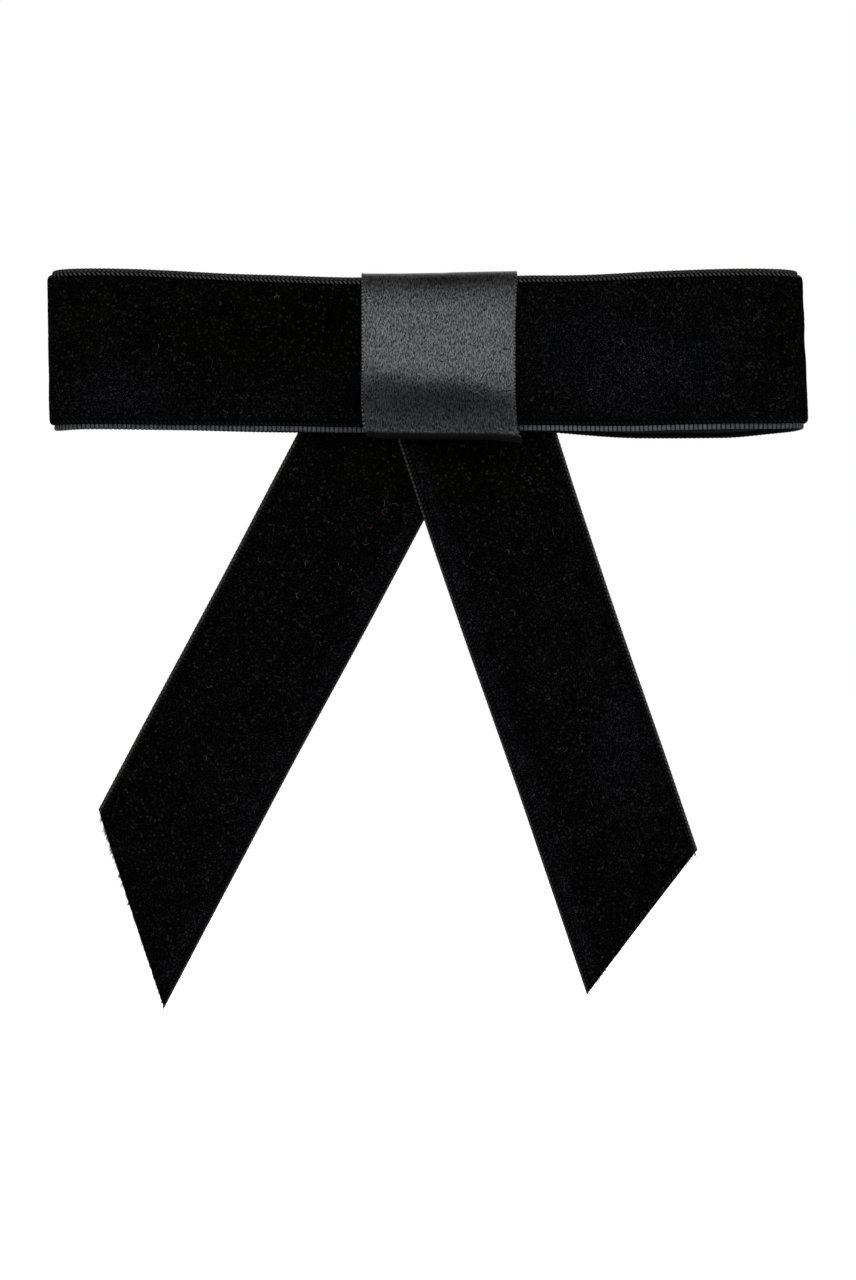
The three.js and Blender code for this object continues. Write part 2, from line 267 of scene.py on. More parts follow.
def selvage_material():
    """The woven edge: weft loops with thin dark gaps, cool grey where warm is 0 and olive where it is 1,
    with painted light and shade from the lit attribute.
    """
    n = Nodes("velvet_selvage")
    place = n.attribute("ribbon")
    warm = n.attribute("warm", "Fac")
    lit = n.attribute("lit", "Fac")
    u, _, _ = n.parts(place)
    loop = n.spread(n.beads(u, RIB_PITCH), 0.10, 0.60, 0.06, 1.0)
    fibres = n.spread(n.noise(n.scaled(place, (6.0, 1.0, 1.0)), 2.0, 2.0), 0.3, 0.7, 0.70, 1.25)
    worn = n.spread(n.noise(place, 0.8, 2.0), 0.3, 0.7, 0.75, 1.2)
    share = n.times(loop, fibres, worn, lit, clamp=True)
    cool = n.mix(share, grey(0.003), grey(LOOP_SHINE, (0.95, 1.0, 1.06)))
    olive = n.mix(share, (0.0014, 0.0008, 0.0007), grey(LOOP_SHINE, (1.10, 1.0, 0.84)))
    n.set(Base_Color=n.mix(warm, cool, olive), Roughness=0.62, Specular_IOR_Level=0.12)
    n.set(Sheen_Weight=0.008, Sheen_Roughness=0.4)
    n.bump(n.times(fibres, loop), 0.00006, 0.5)
    return n.material


def satin_material():
    """Charcoal satin: long warp floats that spread their shine sideways, and beaded edges, with painted
    shade over its top roll and where its foot rolls under.
    """
    n = Nodes("satin")
    place = n.attribute("ribbon")
    half = n.attribute("half", "Fac")
    u, v, _ = n.parts(place)
    rolled = n.attribute("rolled", "Fac")
    floats = n.spread(n.noise(n.scaled(place, (2.0, 6.2, 1.0)), 1.0, 2.0, 0.6), 0.3, 0.7)
    glints = n.parts(n.grains(n.scaled(place, (3.6, 6.8, 1.0)), 1.0, "Color"))[0]
    tone = n.spread(n.math("ADD", n.times(floats, 0.55), n.times(glints, 0.45)), 0.04, 0.96)
    bead = n.spread(n.beads(u, SATIN_PITCH), 0.25, 0.6, 0.04, 1.0)
    inside = n.math("SUBTRACT", half, n.math("ABSOLUTE", v))
    # Painted shade: the floats darker and olive over the top roll, and near black where the foot rolls under
    satin_light_share = n.attribute("painted_satin_light", "Fac")
    tone = n.times(tone, satin_light_share)
    bright = n.mix(satin_light_share, grey(SATIN_LIT, (1.08, 1.0, 0.80)), grey(SATIN_LIT, (0.98, 1.0, 1.05)))
    cloth = n.mix(tone, grey(SATIN_DARK, (0.97, 0.99, 1.07)), bright)
    edge = n.mix(bead, grey(0.003), grey(1.2 * SATIN_LIT))
    cloth = n.mix(n.spread(inside, 0.25, 0.38), edge, cloth)
    # Painted shade where the foot rolls under; there the satin is also rougher and not metallic
    n.set(Base_Color=n.mix(rolled, cloth, grey(0.0015)))
    n.set(Metallic=n.spread(rolled, 0.0, 1.0, 0.92, 0.0), Roughness=n.spread(rolled, 0.0, 1.0, 0.40, 0.9))
    n.set(Specular_IOR_Level=0.1, Anisotropic=0.75)
    n.set(Sheen_Weight=0.004, Sheen_Roughness=0.4)
    tangent = n.node("Tangent", direction_type="RADIAL", axis="Z")
    n.link(tangent.outputs[0], n.shader.inputs["Tangent"])
    n.bump(n.math("ADD", glints, floats), 0.00004, 1.0)
    return n.material


def felt_material():
    """Black felt: matted fibres in loose clumps."""
    n = Nodes("felt")
    place = n.attribute("ribbon")
    fibres = n.noise(place, 1.4, 5.0, 0.75)
    tufts = n.noise(place, 0.5, 3.0, 0.6)
    tone = n.times(fibres, tufts)
    n.set(Base_Color=n.mix(n.spread(tone, 0.12, 0.42), grey(0.004), grey(0.024, (1.0, 1.0, 1.04))))
    n.set(Roughness=0.95, Specular_IOR_Level=0.1, Sheen_Weight=0.15, Sheen_Roughness=0.5)
    n.bump(tone, 0.0004, 0.8)
    return n.material


def grosgrain_material():
    """Black grosgrain: fine yarns that run along each crosswise rib."""
    n = Nodes("grosgrain")
    place = n.attribute("ribbon")
    rib = n.attribute("rib", "Fac")
    yarn = n.noise(n.scaled(place, (1.0, 6.0, 1.0)), 1.4, 3.0)
    tone = n.times(rib, n.spread(yarn, 0.3, 0.7, 0.6, 1.1))
    n.set(Base_Color=n.mix(tone, grey(0.003), grey(0.03, (1.0, 1.0, 1.05))))
    n.set(Roughness=0.6, Specular_IOR_Level=0.3, Sheen_Weight=0.1)
    n.bump(yarn, 0.00008, 0.6)
    return n.material


def thread_material():
    """Black sewing thread with a little shine on its strands."""
    n = Nodes("thread")
    strands = n.noise(n.object_place(), 3.0, 3.0)
    n.set(Base_Color=n.mix(n.spread(strands, 0.35, 0.65), grey(0.005), grey(0.045)))
    n.set(Roughness=0.55, Specular_IOR_Level=0.35, Sheen_Weight=0.1)
    n.bump(strands, 0.00005, 0.6)
    return n.material


def steel_material():
    """Nickel-plated spring steel: a fine rolled grain along X with a few short hairline scratches."""
    n = Nodes("clip_steel")
    place = n.object_place()
    grain = n.spread(n.noise(n.scaled(place, (0.05, 5.0, 5.0)), 1.4, 3.0, 0.55), 0.25, 0.75)
    haze = n.spread(n.noise(place, 0.05, 1.0, 0.5), 0.3, 0.7)
    scratches = n.spread(n.noise(n.scaled(place, (0.30, 4.0, 4.0)), 1.2, 1.0, 0.5), 0.70, 0.76)
    tone = n.mix(grain, grey(0.47, (1.0, 1.0, 1.01)), grey(0.56, (1.0, 0.99, 0.97)))
    tone = n.mix(n.times(scratches, 0.35), tone, grey(0.30))
    dull = n.math("ADD", n.times(haze, 0.3), n.times(grain, 0.7))
    n.set(Base_Color=tone, Metallic=1.0, Roughness=n.spread(dull, 0.0, 1.0, 0.20, 0.32))
    n.bump(grain, 0.000006, 0.3)
    return n.material


def lint_material(name, colour):
    """A dull fibre whose colour varies along it."""
    n = Nodes(name)
    shade = n.spread(n.noise(n.object_place(), 1.5, 2.0), 0.3, 0.7)
    n.set(Base_Color=n.mix(shade, tuple(0.5 * part for part in colour), colour), Roughness=0.7)
    return n.material


# ---- ribbon meshes


def box_mm(node):
    """A CAD node's lowest and highest corners, in millimetres."""
    return (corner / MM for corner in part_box(node))


def cubic(p0, p1, p2, p3, steps=80):
    """Points along a cubic curve from p0 to p3."""
    t = np.linspace(0.0, 1.0, steps, endpoint=False)[:, None]
    p0, p1, p2, p3 = (np.array(p, float) for p in (p0, p1, p2, p3))
    s = 1.0 - t
    return s**3 * p0 + 3 * s * s * t * p1 + 3 * s * t * t * p2 + t**3 * p3


def smooth(value, low, high):
    """0 up to low and 1 from high on, with a smooth step between them."""
    t = np.clip((value - low) / (high - low), 0.0, 1.0)
    return t * t * (3 - 2 * t)


class Line:
    """A ribbon's middle line: places along it by length, with the directions across and up from it."""

    def __init__(self, points, across):
        points = np.array(points, float)
        step = np.linalg.norm(np.diff(points, axis=0), axis=1)
        keep = np.concatenate(([True], step > 1e-6))
        points = points[keep]
        step = np.linalg.norm(np.diff(points, axis=0), axis=1)
        self.at = np.concatenate(([0.0], np.cumsum(step)))
        self.length = self.at[-1]
        self.points = points
        along = np.gradient(points, self.at, axis=0)
        along /= np.linalg.norm(along, axis=1)[:, None]
        across = np.broadcast_to(np.array(across, float), points.shape)
        across = across - (across * along).sum(1)[:, None] * along
        self.across = across / np.linalg.norm(across, axis=1)[:, None]
        self.up = np.cross(along, self.across)

    def place(self, u, v, w):
        """The points at length u along the line, v across it and w up from it."""
        def read(table):
            return np.stack([np.interp(u, self.at, table[:, k]) for k in range(3)], axis=-1)
        return read(self.points) + v[..., None] * read(self.across) + w[..., None] * read(self.up)


def link_object(name, data):
    """A new object in the scene around a mesh, a light or a camera."""
    made = bpy.data.objects.new(name, data)
    bpy.context.scene.collection.objects.link(made)
    return made


def smooth_faces(mesh):
    mesh.polygons.foreach_set("use_smooth", np.ones(len(mesh.polygons), bool))


def grid_mesh(name, points, coords, attributes, materials, face_material=None):
    """A closed tube of quads from rings of points, with its two ends capped."""
    rings, count = points.shape[:2]
    index = np.arange(rings * count).reshape(rings, count)
    a, b = index[:-1], index[1:]
    quads = np.stack([a, np.roll(a, -1, 1), np.roll(b, -1, 1), b], axis=-1).reshape(-1, 4)
    faces = [tuple(q) for q in quads.tolist()]
    half = count // 2
    for ring, order in ((index[0], 1), (index[-1], -1)):
        for k in range(half - 1):
            quad = (ring[k], ring[count - 1 - k], ring[count - 2 - k], ring[k + 1])
            faces.append(tuple(int(i) for i in quad[::order]))
    mesh = bpy.data.meshes.new(name)
    mesh.from_pydata((points.reshape(-1, 3) * MM).tolist(), [], faces)
    stored = mesh.attributes.new("ribbon", "FLOAT_VECTOR", "POINT")
    stored.data.foreach_set("vector", coords.reshape(-1).astype(np.float32))
    for key, values in attributes.items():
        stored = mesh.attributes.new(key, "FLOAT", "POINT")
        stored.data.foreach_set("value", values.reshape(-1).astype(np.float32))
    for material in materials:
        mesh.materials.append(material)
    smooth_faces(mesh)
    if face_material is not None:
        chosen = np.zeros(len(mesh.polygons), np.int32)
        chosen[: (rings - 1) * count] = np.tile(face_material, rings - 1)
        mesh.polygons.foreach_set("material_index", chosen)
    mesh.update()
    return link_object(name, mesh)


def lumps(coords, size, seed):
    """Smooth pseudo-random lumps from -1 to 1 over ribbon coordinates, from a few crossed waves."""
    draw = np.random.default_rng(seed)
    total = np.zeros(coords.shape[:-1])
    waves = 9
    for _ in range(waves):
        turn, phase = draw.uniform(0, 2 * math.pi, 2)
        pitch = size * draw.uniform(0.6, 1.5)
        u = coords[..., 0] * math.cos(turn) + coords[..., 1] * math.sin(turn)
        total += np.sin(2 * math.pi * u / pitch + phase)
    return total / math.sqrt(waves)


def section_rings(ends, profile, step):
    """Ribbon coordinates u, v, w of every ring of a strip whose ends may be cut at a slant."""
    v, w = np.array(profile, float).T
    start, stop = ends(v)
    rings = max(2, int(round(float((stop - start).max()) / step)))
    t = np.linspace(0.0, 1.0, rings)[:, None]
    u = start + t * (stop - start)
    return np.stack([u, np.broadcast_to(v, u.shape), np.broadcast_to(w, u.shape)], axis=-1)


def band_profile(level, thin, edge, face_columns, back_columns):
    """A thin band's cross section: its face, one edge, its back and the same edge mirrored."""
    face = [(v, thin) for v in np.linspace(level, -level, face_columns)]
    back = [(v, -thin) for v in np.linspace(-level, level, back_columns)]
    return face + edge + back + [(-v, w) for v, w in reversed(edge)]


def square_ends(line):
    """The ends of a strip that covers its whole line and is cut straight across."""
    def ends(v):
        return np.zeros_like(v), np.full_like(v, line.length)
    return ends


def velvet_profile(woven):
    """A flat web with half-round pile shoulders that start where each selvage ends; the back first."""
    half = RIBBON_WIDTH / 2
    lower, upper = half - woven[0], half - woven[1]
    shoulder = (
        (0.0, -0.30), (0.0, -0.04), (0.07, 0.20), (0.18, 0.40), (0.36, 0.54), (0.62, 0.62), (1.0, PILE_TOP)
    )
    level_from, pile_columns = 1.7, 43
    back = [(v, WEB_BACK) for v in np.linspace(-lower, upper, BACK_COLUMNS)]
    right = [(upper - inward, w) for inward, w in shoulder]
    left = [(inward - lower, w) for inward, w in reversed(shoulder)]
    top = [(v, PILE_TOP) for v in np.linspace(upper - level_from, level_from - lower, pile_columns)]
    return back + right + top + left


@dataclass
class Edge:
    """How one selvage of a velvet ribbon looks."""

    width: float  # millimetres
    lit: float  # how brightly its loops are lit, as painted light in their colour
    warm: float  # 0 where they are cool grey, 1 where they are olive
    dash: float  # how bright the dashed row beside it is
    overrun: float = 0.0  # how far it runs past the cut
    painted_back_shadow: float = 0.0  # painted shadow: how much darker it is on a loop's back layer
    painted_edge_light: float = 0.0  # painted light: how much brighter the pile is beside it
    painted_gleam: float = 0.0  # painted highlight: how much brighter it is on the front of the right loop


def velvet_strip(name, line, ends, warp, seed, edges, painted_nap_light, press):
    """The pile and web of one velvet ribbon."""
    profile = velvet_profile([edge.width for edge in edges])
    rings = section_rings(ends, profile, RIB_PITCH / 3)
    u, v, w = np.moveaxis(rings, -1, 0)
    half = RIBBON_WIDTH / 2
    from_edge = half - np.abs(v)
    is_pile = (w > -0.1).astype(float)
    start, stop = ends(v)
    to_cut = np.minimum(u - start, stop - u)
    flat = line.place(u, v, w)
    lofty = is_pile * smooth(from_edge, 1.0, 1.9)
    shaped = w + lofty * (
        0.02 * lumps(rings, 0.9, seed)
        + 0.05 * lumps(rings, 7.0, seed + 1)
        - 0.35 * (1 - smooth(to_cut, 0.0, 0.9))
        - 0.30 * press(flat)
    )
    points = warp(line.place(u, v, shaped))
    # Painted light: the pile is brighter beside some selvages, on top of its painted light patches
    painted_edge_light_reach = 1.6
    painted_edge_light = np.exp(-(((from_edge - painted_edge_light_reach) / painted_edge_light_reach) ** 2))
    painted_edge_light = painted_edge_light * np.where(v < 0, edges[0].painted_edge_light, edges[1].painted_edge_light)
    shade = {
        "painted_nap_light": (painted_nap_light(flat) + painted_edge_light) * (0.10 + 0.90 * smooth(to_cut, 0.1, 1.1)),
        "dash": np.where(v < 0, edges[0].dash, edges[1].dash),
        "woven": np.where(v < 0, edges[0].width, edges[1].width),
    }
    back_faces = BACK_COLUMNS - 1
    face_material = np.array([1] * back_faces + [0] * (len(profile) - back_faces), np.int32)
    coords = np.stack([u + PATTERN_SHIFT * seed * RIB_PITCH, v, w], axis=-1)
    return grid_mesh(name, points, coords, shade, [VELVET, WEB], face_material)


def selvage(name, line, ends, warp, side, edge):
    """One woven edge of a velvet ribbon: a row of weft loops round an edge cord."""
    reach, thick = edge.width / 2 + 0.06, 0.22
    middle = (RIBBON_WIDTH - edge.width) / 2
    profile = [
        (side * (middle + reach * math.cos(turn)), SELVAGE_LEVEL - side * thick * math.sin(turn))
        for turn in np.linspace(0, 2 * math.pi, 14, endpoint=False)
    ]

    def longer(v):
        start, stop = ends(v)
        return start, stop + edge.overrun

    rings = section_rings(longer, profile, RIB_PITCH / 6)
    u, v, w = np.moveaxis(rings, -1, 0)
    rib = smooth(0.5 + 0.5 * np.cos(2 * math.pi * (u / RIB_PITCH - 0.5)), 0.0, 0.55)
    swell = 0.66 + 0.34 * rib + 0.05 * lumps(rings, 2.2, 11)
    sideways = side * (middle + (side * v - middle) * (0.86 + 0.14 * rib))
    upward = SELVAGE_LEVEL + (w - SELVAGE_LEVEL) * swell
    points = warp(line.place(u, sideways, upward))
    # Painted shadow on the loops of a back layer, which also turns them olive, and a painted highlight on
    # the right loop's front
    facing_back = smooth(np.interp(u, line.at, line.up[:, 1]), -0.3, 0.5)
    hidden = edge.painted_back_shadow * facing_back
    x = points[..., 0]
    painted_gleam = 1 + edge.painted_gleam * smooth(x, 12.0, 18.0) * (1 - smooth(x, 34.0, 52.0))
    shade = {
        "lit": edge.lit * painted_gleam * (1 - hidden),
        "warm": edge.warm + (1 - edge.warm) * hidden,
    }
    return grid_mesh(name, points, rings, shade, [SELVAGE])


def shown(piece):
    """Every new piece is part of the bow, so it rides on the root body."""
    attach(piece, "root")


def velvet_ribbon(name, node, line, ends, warp, seed, edges, painted_nap_light, press):
    """One velvet ribbon with its two selvages, standing for a CAD node."""
    body = velvet_strip(name, line, ends, warp, seed, edges, painted_nap_light, press)
    woven = [
        selvage(f"{name}_selvage_{word}", line, ends, warp, side, edge)
        for word, side, edge in zip("ab", (-1, 1), edges)
    ]
    for piece in (body, *woven):
        shown(piece)
    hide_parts(node)
    return body, woven


def painted_light_patches(spots):
    """Painted light and shade on the pile, from how far its nap leans to the light: 1 in most places, and
    more or less round each (x, z) spot.
    """
    def tone(points):
        x, z = points[..., 0], points[..., 2]
        total = np.ones(x.shape)
        for at_x, at_z, reach_x, reach_z, amount in spots:
            total += amount * np.exp(-(((x - at_x) / reach_x) ** 2) - ((z - at_z) / reach_z) ** 2)
        return total
    return tone


# ---- the bow loop


@dataclass
class Loop:
    """One loop's outline in plan, in millimetres from the middle of the bow."""

    side: int  # -1 for the left loop, 1 for the right
    fold: float  # y of the outermost bend
    crest_x: float  # where its front stands out most
    crest_y: float
    back_x: float  # where its back comes nearest to the clip

    def reach(self):
        """From the middle of the bow to the ribbon's middle surface at the fold."""
        low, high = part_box("bow_loop")
        return abs(low.x if self.side < 0 else high.x) / MM - FOLD_INSET


LOOPS = (
    Loop(side=-1, fold=-21.5, crest_x=55.0, crest_y=-27.0, back_x=40.0),
    Loop(side=1, fold=-19.5, crest_x=51.0, crest_y=-25.0, back_x=38.0),
)
WRAP_LOW, WRAP_HIGH = box_mm("centre_wrap")
LAYER_FRONT, LAYER_INNER, LAYER_OUTER = -16.0, -14.5, -13.05  # y of the bow's layers under the wrap
BACK_CREST = -7.8  # y where the back of each loop comes nearest to the clip
FOLD_INSET = 0.98  # from the edge of the CAD loop's box to the ribbon's middle surface at the fold
LOOP_ENDS = 11.0  # how far each end of the strip passes the middle


def loop_points(loop, back_layer):
    """From the back layer under the wrap, round the fold, to the front layer under the wrap."""
    edge = WRAP_HIGH.x + 0.5
    reach = loop.reach()
    parts = [
        cubic((edge, back_layer), (edge + 8, back_layer),
              (loop.back_x - 12, BACK_CREST), (loop.back_x, BACK_CREST)),
        cubic((loop.back_x, BACK_CREST), (loop.back_x + 12, BACK_CREST),
              (reach, loop.fold + 7), (reach, loop.fold)),
        cubic((reach, loop.fold), (reach, loop.fold - 4),
              (loop.crest_x + 4.5, loop.crest_y), (loop.crest_x, loop.crest_y)),
        cubic((loop.crest_x, loop.crest_y), (loop.crest_x - 10, loop.crest_y),
              (2.2 * edge, LAYER_FRONT - 1.2), (edge, LAYER_FRONT)),
    ]
    return np.concatenate(parts) * (loop.side, 1)


def soften(points, window):
    """A line with its bends eased, with its two ends kept."""
    kernel = np.hanning(window + 2)[1:-1]
    kernel /= kernel.sum()
    padded = np.concatenate([np.repeat(points[:1], window, 0), points, np.repeat(points[-1:], window, 0)])
    eased = np.stack([np.convolve(padded[:, k], kernel, "same") for k in range(points.shape[1])], 1)
    return eased[window:-window]


def even(points, step):
    """The same line with its points an even step apart."""
    at = np.concatenate(([0.0], np.cumsum(np.linalg.norm(np.diff(points, axis=0), axis=1))))
    stops = np.linspace(0.0, at[-1], int(at[-1] / step) + 1)
    return np.stack([np.interp(stops, at, points[:, k]) for k in range(points.shape[1])], 1)


def bow_line():
    left, right = (loop_points(loop, layer) for loop, layer in zip(LOOPS, (LAYER_INNER, LAYER_OUTER)))
    plan = np.concatenate([[[LOOP_ENDS, LAYER_INNER]], left, right[::-1], [[-LOOP_ENDS, LAYER_OUTER]]])
    plan = soften(even(plan, 0.25), 9)
    return Line(np.column_stack([plan, np.zeros(len(plan))]), across=(0, 0, 1))


def bow_warp(points):
    """The loops' small irregularities."""
    x, y, z = np.moveaxis(points, -1, 0)
    right = smooth(x, 11, 34)
    left = smooth(-x, 15, 45)
    behind = smooth(y, -21, -11)
    # The folds lean, and the back layers show below the front on the right and above it on the left
    lean = -0.040 * smooth(x, 30, 60) - 0.016 * smooth(-x, 30, 62)
    sunk = -0.90 * right * behind * (1 - 0.6 * smooth(x, 47, 57)) + 0.95 * left * behind
    sway = 0.18 * np.sin(x / 9.0 + z / 14.0) * (right + left)
    settled = -0.16 + 0.38 * smooth(x, 5.0, 16.0)
    # The front's lower edge sags between the wrap and each fold, most on the right
    sag = -0.42 * smooth(x, 18, 34) * (1 - smooth(x, 53, 61)) * smooth(-z, 0, 12) * (1 - behind)
    sag -= 0.09 * smooth(-x, 20, 40) * smooth(-z, 0, 12)
    taller = 1 + 0.014 * smooth(-y, 19.0, 26.0) * smooth(-x, 20.0, 50.0)
    return np.stack([x + lean * z, y + sway, z * taller + sunk + sag + settled], axis=-1)


# ---- the tails


HOLLOW_PEAK = 4 / 27  # the most that share squared times (1 - share) comes to
TAIL_LEAD = 30.0  # a tail's line starts this far above the origin, past its trimmed top
TAIL_SPARE = 4.0  # and stops this far past its cut
TAIL_DRIFT = 1.2  # how far its tip comes forward


@dataclass
class Tail:
    """One tail, in millimetres, at the level and with the top of its CAD node."""

    node: str
    side: int  # -1 for the left tail, 1 for the right
    angle: float  # degrees from the vertical
    offset: float  # its middle line's distance from the origin
    outer: float  # from the origin down the outer edge to the slanted cut
    inner: float  # and down the inner edge
    slide: tuple  # how far it slides sideways, early and late on its way down
    hollow: float  # how far the cut curves inwards
    seed: int
    edges: tuple  # its left and right selvages

    def __post_init__(self):
        low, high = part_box(self.node)
        self.level = (low.y + high.y) / 2 / MM
        self.top = high.z / MM
        turn = math.radians(self.angle)
        self.down = np.array((self.side * math.sin(turn), 0.0, -math.cos(turn)))
        self.across = np.array((math.cos(turn), 0.0, self.side * math.sin(turn)))

    def line(self):
        """From above the trimmed top to past the cut, drifting off its plane towards the tip."""
        start, stop = -TAIL_LEAD, max(self.outer, self.inner) + TAIL_SPARE
        u = np.linspace(start, stop, 400)[:, None]
        centre = self.across * self.offset + np.array((0.0, self.level, 0.0))
        away = TAIL_DRIFT * smooth(u, 35.0, stop) + 0.25 * np.sin(u / 16.0) * smooth(u, 30.0, 60.0)
        early, late = self.slide
        sideways = early * smooth(u, 12.0, 32.0) + (late - early) * smooth(u, 42.0, 78.0)
        points = centre + u * self.down + away * np.array((0.0, -1.0, 0.0)) + sideways * self.across
        return Line(points, across=self.across)

    def cupped(self, points):
        """The ribbon's edges curl back a little, which makes it look narrower from the front."""
        middle = self.across * self.offset
        v = (points - middle) @ self.across
        lower = smooth(-points[..., 2], 18.0, 60.0)
        narrow = -0.011 * v * lower
        back = 0.9 * (v / (RIBBON_WIDTH / 2)) ** 2 * lower
        return points + narrow[..., None] * self.across + back[..., None] * np.array((0.0, 1.0, 0.0))

    def ends(self, v):
        """Where the ribbon starts and stops, in length along the line, at each place v across it."""
        start = TAIL_LEAD + (self.top - (self.offset + v) * self.across[2]) / self.down[2]
        share = np.clip((self.side * v / RIBBON_WIDTH) + 0.5, 0.0, 1.0)
        curve = self.hollow * share**2 * (1 - share) / HOLLOW_PEAK
        return start, TAIL_LEAD + self.inner + share * (self.outer - self.inner) - curve


TAILS = (
    Tail("tail_left", -1, 27.75, -2.4, 93.2, 117.3, slide=(0.0, -0.34), hollow=0.0, seed=3,
         edges=(Edge(0.62, lit=0.36, warm=0.8, dash=0.10),
                Edge(0.36, lit=0.32, warm=0.7, dash=0.10, overrun=0.3, painted_edge_light=0.9))),
    Tail("tail_right", 1, 18.65, 1.82, 91.5, 108.2, slide=(-0.22, 0.12), hollow=0.9, seed=4,
         edges=(Edge(0.40, lit=0.34, warm=0.6, dash=0.16, overrun=0.2, painted_edge_light=1.4),
                Edge(0.50, lit=0.48, warm=0.3, dash=0.14))),
)


# ---- the velvet pieces

VELVET, WEB, SELVAGE = velvet_material(), web_material(), selvage_material()
SATIN, FELT, GROSGRAIN = satin_material(), felt_material(), grosgrain_material()
THREAD, STEEL = thread_material(), steel_material()

# Painted light and shade on the pile, where its nap leans towards the light and away from it, in
# millimetres: x, z, reach along x, reach along z, how much; the darker spots beside the wrap and on the
# tails just under it are painted shade
LOOP_PAINTED_LIGHT = painted_light_patches((
    (-52.0, -7.5, 9.0, 5.0, 1.15), (-24.0, -7.0, 9.0, 4.0, 0.45), (-18.0, 6.0, 6.0, 6.0, -0.45),
    (31.0, -3.0, 12.0, 6.0, 0.8), (22.0, 4.0, 8.0, 6.0, 0.3), (56.0, 2.0, 5.0, 9.0, -0.6),
    (36.0, 0.0, 30.0, 30.0, 0.46), (-30.0, 3.0, 22.0, 9.0, -0.30),
))
TAIL_PAINTED_LIGHT = painted_light_patches((
    (31.0, -64.0, 7.0, 14.0, 0.9), (20.0, -40.0, 8.0, 14.0, 0.3), (-30.0, -70.0, 8.0, 22.0, 0.15),
    (0.0, -16.0, 14.0, 7.0, -0.55),
))


def under_wrap(points):
    """1 where the satin presses the pile flat, 0 away from it."""
    return 1 - smooth(np.abs(points[..., 0]), 11.8, 13.4)


def unpressed(points):
    """0 everywhere: nothing presses the tails."""
    return np.zeros(points.shape[:-1])


LOOP_EDGES = (
    Edge(0.80, lit=0.60, warm=0.0, dash=0.10, painted_back_shadow=1.0, painted_gleam=0.7),
    Edge(0.56, lit=0.36, warm=1.0, dash=1.0),
)


def build_bow_loop():
    line = bow_line()
    body, edges = velvet_ribbon(
        "velvet_bow_loop", "bow_loop", line, square_ends(line), bow_warp, 1, LOOP_EDGES, LOOP_PAINTED_LIGHT, under_wrap
    )


def build_tails():
    for tail in TAILS:
        line = tail.line()
        body, edges = velvet_ribbon(
            f"velvet_{tail.node}", tail.node, line, tail.ends, tail.cupped, tail.seed, tail.edges,
            TAIL_PAINTED_LIGHT, unpressed
        )
        start, stop = tail.ends(np.array((-RIBBON_WIDTH / 2, RIBBON_WIDTH / 2)))


# ---- the satin wrap


WRAP_CENTRE = -0.2  # the satin sits a little to the left of the bow's middle


def wrap_line():
    """Round the bow's middle: up the back, over the top, down the front and back under, overlapping."""
    half_layer = SATIN_LAYER / 2
    front, top, bottom = WRAP_LOW.y + half_layer, WRAP_HIGH.z - half_layer, WRAP_LOW.z + half_layer
    outer = WRAP_HIGH.y - half_layer
    inner = outer - SATIN_LAYER - 0.15
    bend = 1.6
    overlap = 5.0  # how far each end passes the middle of the back
    back_up = [(inner, -overlap), (inner, top - bend), (inner - bend, top - 0.1)]
    shoulder = [(front + 2.4, top), (front + 0.85, top - 0.5), (front + 0.22, 10.4)]
    face = [(front, z) for z in (7.6, 4.0, -2.0, -8.0, -11.6)]
    foot = [(front + 0.25, bottom + 0.35), (front + 1.3, bottom + 0.1)]
    back_down = [(outer - bend, bottom), (outer, bottom + bend), (outer, overlap)]
    return back_up + shoulder + face + foot + back_down


def rounded(corners, steps=24):
    """A smooth line through a few corners, each eased by quadratic curves between mid points."""
    corners = np.array(corners, float)
    middles = (corners[:-1] + corners[1:]) / 2
    t = np.linspace(0.0, 1.0, steps, endpoint=False)[:, None]
    parts = [corners[:1]]
    for before, corner, after in zip(middles[:-1], corners[1:-1], middles[1:]):
        parts.append((1 - t) ** 2 * before + 2 * t * (1 - t) * corner + t * t * after)
    return np.concatenate(parts + [corners[-1:]])


def ramp(value, sharpness):
    """0 below zero, then rising one for one, with a soft corner."""
    return np.logaddexp(0.0, sharpness * value) / sharpness


def wrap_warp(points):
    """The satin bulges below a slanting crease, its foot slides right and its right corner flares."""
    x, y, z = np.moveaxis(points, -1, 0)
    in_front = 1 - smooth(y, -16.4, -13.5)
    crease = -z - 0.11 * x + 0.35 * np.sin(x / 2.6) + 0.2 * np.sin(x / 1.1 + 1.0)
    bulge = (0.44 * ramp(crease - 5.3, 1.0) - 0.10 * ramp(-z - 9.0, 2.5)) * in_front
    foot = smooth(-z, 7.0, 13.5)
    right_corner = smooth(x, 9.0, 13.0) * smooth(-z, 10.8, 13.3) * in_front
    left_corner = smooth(-x, 9.5, 12.8) * smooth(-z, 10.5, 13.4)
    wider_top = 0.3 * smooth(z, 4.0, 13.0) * smooth(x, 0.0, 12.0)
    shift = 0.35 * foot + 0.75 * right_corner + 0.55 * left_corner + wider_top
    drop = -0.15 * smooth(x, -13.0, 13.0) * foot - 0.60 * right_corner + 0.3 * left_corner
    drop -= 0.95 * smooth(-z, 8.5, 12.6) * in_front
    lift = 0.38 * smooth(x, -8.0, 12.0) * smooth(z, 8.0, 13.0)
    return np.stack([x + WRAP_CENTRE + shift, y - bulge - 0.2 * right_corner, z + drop + lift], axis=-1)


